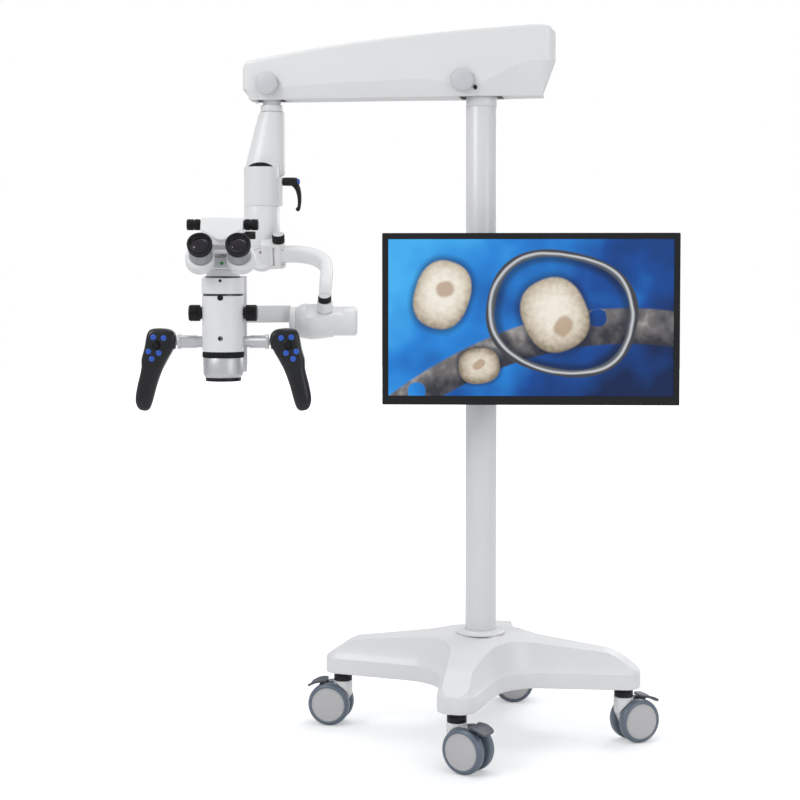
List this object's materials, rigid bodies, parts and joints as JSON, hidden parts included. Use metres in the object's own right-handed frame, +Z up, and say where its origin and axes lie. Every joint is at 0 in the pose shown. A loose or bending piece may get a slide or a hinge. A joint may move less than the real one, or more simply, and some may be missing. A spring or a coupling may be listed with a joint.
{
  "type": "surgical microscope",
  "caption": "Surgical microscope on a jointed arm with handles and binocular tube, hung from a balance arm on a wheeled column stand that also carries a flat monitor",
  "frame": {"origin": "on the floor, where the column's axis meets it", "axes": "+Z up along the column, -X along the balance arm to the microscope, -Y the front of the monitor"},
  "size_m": [1.1118, 0.7583, 1.5567],
  "materials": {
    "base_white": "smooth white powder coat",
    "bezel_black": "near-black housing",
    "black_plastic": "black moulding",
    "button_blue": "blue moulding",
    "casting_white": "white painted casting",
    "grip_charcoal": "charcoal soft touch",
    "knob_grey": "light grey moulding",
    "lens_glass": "coated lens",
    "pedal_slate": "dark slate moulding",
    "satin_metal": "satin turned metal",
    "screen_glass": "lit screen behind glass",
    "shell_white": "white moulded shell",
    "steel": "machined steel",
    "steel_black": "black sockets and steel stems",
    "steel_white": "white painted steel tube",
    "tyre_grey": "blue-grey tyre with light grey disc"
  },
  "bodies": {
    "stand": {"base": "base_white", "castor_sockets": "steel_black", "column": "steel_white", "column_collars": "casting_white"},
    "castor_left": {"castor_left_fork": "casting_white"},
    "castor_left_roller": {"castor_left_wheels": "tyre_grey"},
    "castor_left_brake": {"castor_left_pedal": "pedal_slate"},
    "castor_right": {"castor_right_fork": "casting_white"},
    "castor_right_roller": {"castor_right_wheels": "tyre_grey"},
    "castor_right_brake": {"castor_right_pedal": "pedal_slate"},
    "castor_front": {"castor_front_fork": "casting_white"},
    "castor_front_roller": {"castor_front_wheels": "tyre_grey"},
    "castor_front_brake": {"castor_front_pedal": "pedal_slate"},
    "castor_rear": {"castor_rear_fork": "casting_white"},
    "castor_rear_roller": {"castor_rear_wheels": "tyre_grey"},
    "castor_rear_brake": {"castor_rear_pedal": "pedal_slate"},
    "column_head": {"column_head": "casting_white"},
    "beam": {"beam_cover": "shell_white", "balance_arm": "steel"},
    "parallel_rod": {"parallel_rod": "steel"},
    "rear_knob": {"beam_rear_knob": "knob_grey"},
    "front_knob": {"beam_front_knob": "knob_grey"},
    "hanger_block": {"hanger_block": "casting_white"},
    "hanger_arm": {"hanger_arm": "casting_white"},
    "clamp_lever": {"clamp_lever": "black_plastic"},
    "knuckle": {"lower_knuckle": "casting_white"},
    "link_arm": {"link_arm": "casting_white"},
    "link_knob": {"link_knob": "black_plastic"},
    "tilt_head": {"tilt_housing": "casting_white"},
    "tilt_knob": {"tilt_knob": "black_plastic"},
    "scope": {"yoke_arm": "casting_white", "scope_body": "casting_white", "objective_cell": "satin_metal", "objective_lens": "lens_glass", "handle_bars": "satin_metal", "binocular_base": "casting_white"},
    "focus_ring": {"focus_ring": "black_plastic"},
    "magnification_knobs": {"magnification_knobs": "black_plastic"},
    "binocular": {"binocular_housing": "casting_white"},
    "spacing_knobs": {"spacing_knobs": "black_plastic"},
    "monitor_arm": {"monitor_arm": "casting_white"},
    "monitor_bracket": {"monitor_bracket": "steel"},
    "monitor": {"monitor_housing": "bezel_black", "monitor_screen": "screen_glass"},
    "eyepiece_left": {"eyepiece_left": "black_plastic"},
    "eyepiece_right": {"eyepiece_right": "black_plastic"},
    "handle_left": {"handle_left": "grip_charcoal"},
    "button_left_1": {"button_left_1": "button_blue"},
    "button_left_2": {"button_left_2": "button_blue"},
    "button_left_3": {"button_left_3": "button_blue"},
    "button_left_4": {"button_left_4": "button_blue"},
    "button_left_5": {"button_left_5": "button_blue"},
    "joystick_left": {"joystick_left": "black_plastic"},
    "handle_right": {"handle_right": "grip_charcoal"},
    "button_right_1": {"button_right_1": "button_blue"},
    "button_right_2": {"button_right_2": "button_blue"},
    "button_right_3": {"button_right_3": "button_blue"},
    "button_right_4": {"button_right_4": "button_blue"},
    "button_right_5": {"button_right_5": "button_blue"},
    "joystick_right": {"joystick_right": "black_plastic"}
  },
  "joints": [
    {"name": "castor_left_swivel", "type": "hinge", "parent": "stand", "child": "castor_left", "pos_m": [-0.3148, 0.02754, 0.1], "axis": [0, 0, 1], "continuous": true},
    {"name": "castor_left_roll", "type": "hinge", "parent": "castor_left", "child": "castor_left_roller", "pos_m": [-0.34269, 0.02998, 0.0475], "axis": [-0.0872, -0.9962, 0], "continuous": true},
    {"name": "castor_left_brake_press", "type": "hinge", "parent": "castor_left", "child": "castor_left_brake", "pos_m": [-0.35863, 0.03138, 0.0655], "axis": [-0.0872, -0.9962, 0], "range_deg": [0, 8]},
    {"name": "castor_right_swivel", "type": "hinge", "parent": "stand", "child": "castor_right", "pos_m": [0.3148, -0.02754, 0.1], "axis": [0, 0, 1], "continuous": true},
    {"name": "castor_right_roll", "type": "hinge", "parent": "castor_right", "child": "castor_right_roller", "pos_m": [0.33854, -0.0127, 0.0475], "axis": [-0.5299, 0.848, 0], "continuous": true},
    {"name": "castor_right_brake_press", "type": "hinge", "parent": "castor_right", "child": "castor_right_brake", "pos_m": [0.35211, -0.00422, 0.0655], "axis": [-0.5299, 0.848, 0], "range_deg": [0, 8]},
    {"name": "castor_front_swivel", "type": "hinge", "parent": "stand", "child": "castor_front", "pos_m": [-0.02414, -0.27595, 0.1], "axis": [0, 0, 1], "continuous": true},
    {"name": "castor_front_roll", "type": "hinge", "parent": "castor_front", "child": "castor_front_roller", "pos_m": [0.00081, -0.28866, 0.0475], "axis": [0.454, 0.891, 0], "continuous": true},
    {"name": "castor_front_brake_press", "type": "hinge", "parent": "castor_front", "child": "castor_front_brake", "pos_m": [0.01506, -0.29592, 0.0655], "axis": [0.454, 0.891, 0], "range_deg": [0, 8]},
    {"name": "castor_rear_swivel", "type": "hinge", "parent": "stand", "child": "castor_rear", "pos_m": [0.02414, 0.27595, 0.1], "axis": [0, 0, 1], "continuous": true},
    {"name": "castor_rear_roll", "type": "hinge", "parent": "castor_rear", "child": "castor_rear_roller", "pos_m": [0.05153, 0.28177, 0.0475], "axis": [-0.2079, 0.9781, 0], "continuous": true},
    {"name": "castor_rear_brake_press", "type": "hinge", "parent": "castor_rear", "child": "castor_rear_brake", "pos_m": [0.06718, 0.28509, 0.0655], "axis": [-0.2079, 0.9781, 0], "range_deg": [0, 8]},
    {"name": "beam_swivel", "type": "hinge", "parent": "stand", "child": "column_head", "pos_m": [0, 0, 1.383], "axis": [0, 0, 1], "range_deg": [-170, 80]},
    {"name": "beam_tilt", "type": "hinge", "parent": "column_head", "child": "beam", "pos_m": [-0.036, 0, 1.435], "axis": [0, 1, 0], "range_deg": [-15, 15]},
    {"name": "rod_follow", "type": "hinge", "parent": "column_head", "child": "parallel_rod", "pos_m": [-0.036, 0, 1.469], "axis": [0, 1, 0], "range_deg": [-15.5, 15.5]},
    {"name": "hanger_level", "type": "hinge", "parent": "beam", "child": "hanger_block", "pos_m": [-0.469, 0, 1.435], "axis": [0, 1, 0], "range_deg": [-15.5, 15.5]},
    {"name": "rear_knob_turn", "type": "hinge", "parent": "beam", "child": "rear_knob", "pos_m": [-0.036, -0.06, 1.435], "axis": [0, 1, 0], "continuous": true},
    {"name": "front_knob_turn", "type": "hinge", "parent": "beam", "child": "front_knob", "pos_m": [-0.469, -0.05, 1.435], "axis": [0, 1, 0], "continuous": true},
    {"name": "hanger_swivel", "type": "hinge", "parent": "hanger_block", "child": "hanger_arm", "pos_m": [-0.469, 0, 1.373], "axis": [0, 0, 1], "range_deg": [-150, 3]},
    {"name": "clamp_lever_turn", "type": "hinge", "parent": "hanger_arm", "child": "clamp_lever", "pos_m": [-0.43411, -0.03677, 1.222], "axis": [0.9903, 0.1392, 0], "range_deg": [-45, 45]},
    {"name": "knuckle_swivel", "type": "hinge", "parent": "hanger_arm", "child": "knuckle", "pos_m": [-0.48263, -0.04359, 1.16], "axis": [0, 0, 1], "range_deg": [-120, 10]},
    {"name": "link_swivel", "type": "hinge", "parent": "knuckle", "child": "link_arm", "pos_m": [-0.43829, -0.0717, 1.062], "axis": [0.0653, -0.4649, 0.8829], "range_deg": [-20, 5]},
    {"name": "link_knob_turn", "type": "hinge", "parent": "knuckle", "child": "link_knob", "pos_m": [-0.43633, -0.08564, 1.08849], "axis": [0.0653, -0.4649, 0.8829], "continuous": true},
    {"name": "head_swivel", "type": "hinge", "parent": "link_arm", "child": "tilt_head", "pos_m": [-0.30872, -0.21759, 0.94162], "axis": [0.0653, -0.4649, 0.8829], "range_deg": [-20, 20]},
    {"name": "tilt_knob_turn", "type": "hinge", "parent": "tilt_head", "child": "tilt_knob", "pos_m": [-0.30676, -0.23154, 0.96811], "axis": [0.0653, -0.4649, 0.8829], "continuous": true},
    {"name": "scope_tilt", "type": "hinge", "parent": "tilt_head", "child": "scope", "pos_m": [-0.37076, -0.21446, 0.91954], "axis": [0.9903, 0.1392, 0], "range_deg": [-25, 30]},
    {"name": "focus_turn", "type": "hinge", "parent": "scope", "child": "focus_ring", "pos_m": [-0.50374, -0.31012, 0.8534], "axis": [0, 0, 1], "range_deg": [-120, 120]},
    {"name": "magnification_turn", "type": "hinge", "parent": "scope", "child": "magnification_knobs", "pos_m": [-0.50374, -0.31012, 0.9384], "axis": [0.9903, 0.1392, 0], "continuous": true},
    {"name": "binocular_tilt", "type": "hinge", "parent": "scope", "child": "binocular", "pos_m": [-0.50374, -0.31012, 1.043], "axis": [0.9903, 0.1392, 0], "range_deg": [-30, 4]},
    {"name": "spacing_turn", "type": "hinge", "parent": "binocular", "child": "spacing_knobs", "pos_m": [-0.50374, -0.31012, 1.12], "axis": [0.9903, 0.1392, 0], "range_deg": [0, 91]},
    {"name": "eyepiece_left_shift", "type": "slide", "parent": "binocular", "child": "eyepiece_left", "axis": [0.9903, 0.1392, 0], "range_m": [0, 0.01]},
    {"name": "eyepiece_right_shift", "type": "slide", "parent": "binocular", "child": "eyepiece_right", "axis": [-0.9903, -0.1392, 0], "range_m": [0, 0.0101]},
    {"name": "handle_left_tilt", "type": "hinge", "parent": "scope", "child": "handle_left", "pos_m": [-0.61762, -0.32613, 0.8795], "axis": [0.9903, 0.1392, 0], "range_deg": [-30, 30]},
    {"name": "button_left_1_press", "type": "slide", "parent": "handle_left", "child": "button_left_1", "axis": [-0.1392, 0.9903, 0], "range_m": [0, 0.0012], "stiffness_N_per_m": 800, "springref_m": -0.0005},
    {"name": "button_left_2_press", "type": "slide", "parent": "handle_left", "child": "button_left_2", "axis": [-0.1392, 0.9903, 0], "range_m": [0, 0.0012], "stiffness_N_per_m": 800, "springref_m": -0.0005},
    {"name": "button_left_3_press", "type": "slide", "parent": "handle_left", "child": "button_left_3", "axis": [-0.1392, 0.9903, 0], "range_m": [0, 0.0012], "stiffness_N_per_m": 800, "springref_m": -0.0005},
    {"name": "button_left_4_press", "type": "slide", "parent": "handle_left", "child": "button_left_4", "axis": [-0.1392, 0.9903, 0], "range_m": [0, 0.0012], "stiffness_N_per_m": 800, "springref_m": -0.0005},
    {"name": "button_left_5_press", "type": "slide", "parent": "handle_left", "child": "button_left_5", "axis": [-0.1392, 0.9903, 0], "range_m": [0, 0.0012], "stiffness_N_per_m": 800, "springref_m": -0.0005},
    {"name": "joystick_left_tilt", "type": "hinge", "parent": "handle_left", "child": "joystick_left", "pos_m": [-0.63537, -0.34357, 0.873], "axis": [0.9903, 0.1392, 0], "range_deg": [-12, 12], "stiffness_Nm_per_rad": 0.3},
    {"name": "handle_right_tilt", "type": "hinge", "parent": "scope", "child": "handle_right", "pos_m": [-0.38986, -0.29412, 0.8795], "axis": [0.9903, 0.1392, 0], "range_deg": [-30, 30]},
    {"name": "button_right_1_press", "type": "slide", "parent": "handle_right", "child": "button_right_1", "axis": [-0.1392, 0.9903, 0], "range_m": [0, 0.0012], "stiffness_N_per_m": 800, "springref_m": -0.0005},
    {"name": "button_right_2_press", "type": "slide", "parent": "handle_right", "child": "button_right_2", "axis": [-0.1392, 0.9903, 0], "range_m": [0, 0.0012], "stiffness_N_per_m": 800, "springref_m": -0.0005},
    {"name": "button_right_3_press", "type": "slide", "parent": "handle_right", "child": "button_right_3", "axis": [-0.1392, 0.9903, 0], "range_m": [0, 0.0012], "stiffness_N_per_m": 800, "springref_m": -0.0005},
    {"name": "button_right_4_press", "type": "slide", "parent": "handle_right", "child": "button_right_4", "axis": [-0.1392, 0.9903, 0], "range_m": [0, 0.0012], "stiffness_N_per_m": 800, "springref_m": -0.0005},
    {"name": "button_right_5_press", "type": "slide", "parent": "handle_right", "child": "button_right_5", "axis": [-0.1392, 0.9903, 0], "range_m": [0, 0.0012], "stiffness_N_per_m": 800, "springref_m": -0.0005},
    {"name": "joystick_right_tilt", "type": "hinge", "parent": "handle_right", "child": "joystick_right", "pos_m": [-0.368, -0.30599, 0.873], "axis": [0.9903, 0.1392, 0], "range_deg": [-12, 12], "stiffness_Nm_per_rad": 0.3},
    {"name": "monitor_arm_swivel", "type": "hinge", "parent": "stand", "child": "monitor_arm", "pos_m": [0, 0, 0.9], "axis": [0, 0, 1], "range_deg": [-60, 60]},
    {"name": "monitor_turn", "type": "hinge", "parent": "monitor_arm", "child": "monitor_bracket", "pos_m": [0.1072, -0.0416, 0.923], "axis": [0, 0, 1], "range_deg": [-12, 40]},
    {"name": "monitor_tilt", "type": "hinge", "parent": "monitor_bracket", "child": "monitor", "pos_m": [0.10974, -0.06748, 0.923], "axis": [0.9952, 0.0976, 0], "range_deg": [-15, 10]}
  ],
  "couplings": [
    {"joint": "rod_follow", "follows": "beam_tilt", "ratio": 1},
    {"joint": "hanger_level", "follows": "beam_tilt", "ratio": -1},
    {"joint": "spacing_turn", "follows": "eyepiece_left_shift", "rad_per_m": 157.08},
    {"joint": "eyepiece_right_shift", "follows": "eyepiece_left_shift", "ratio": 1}
  ]
}
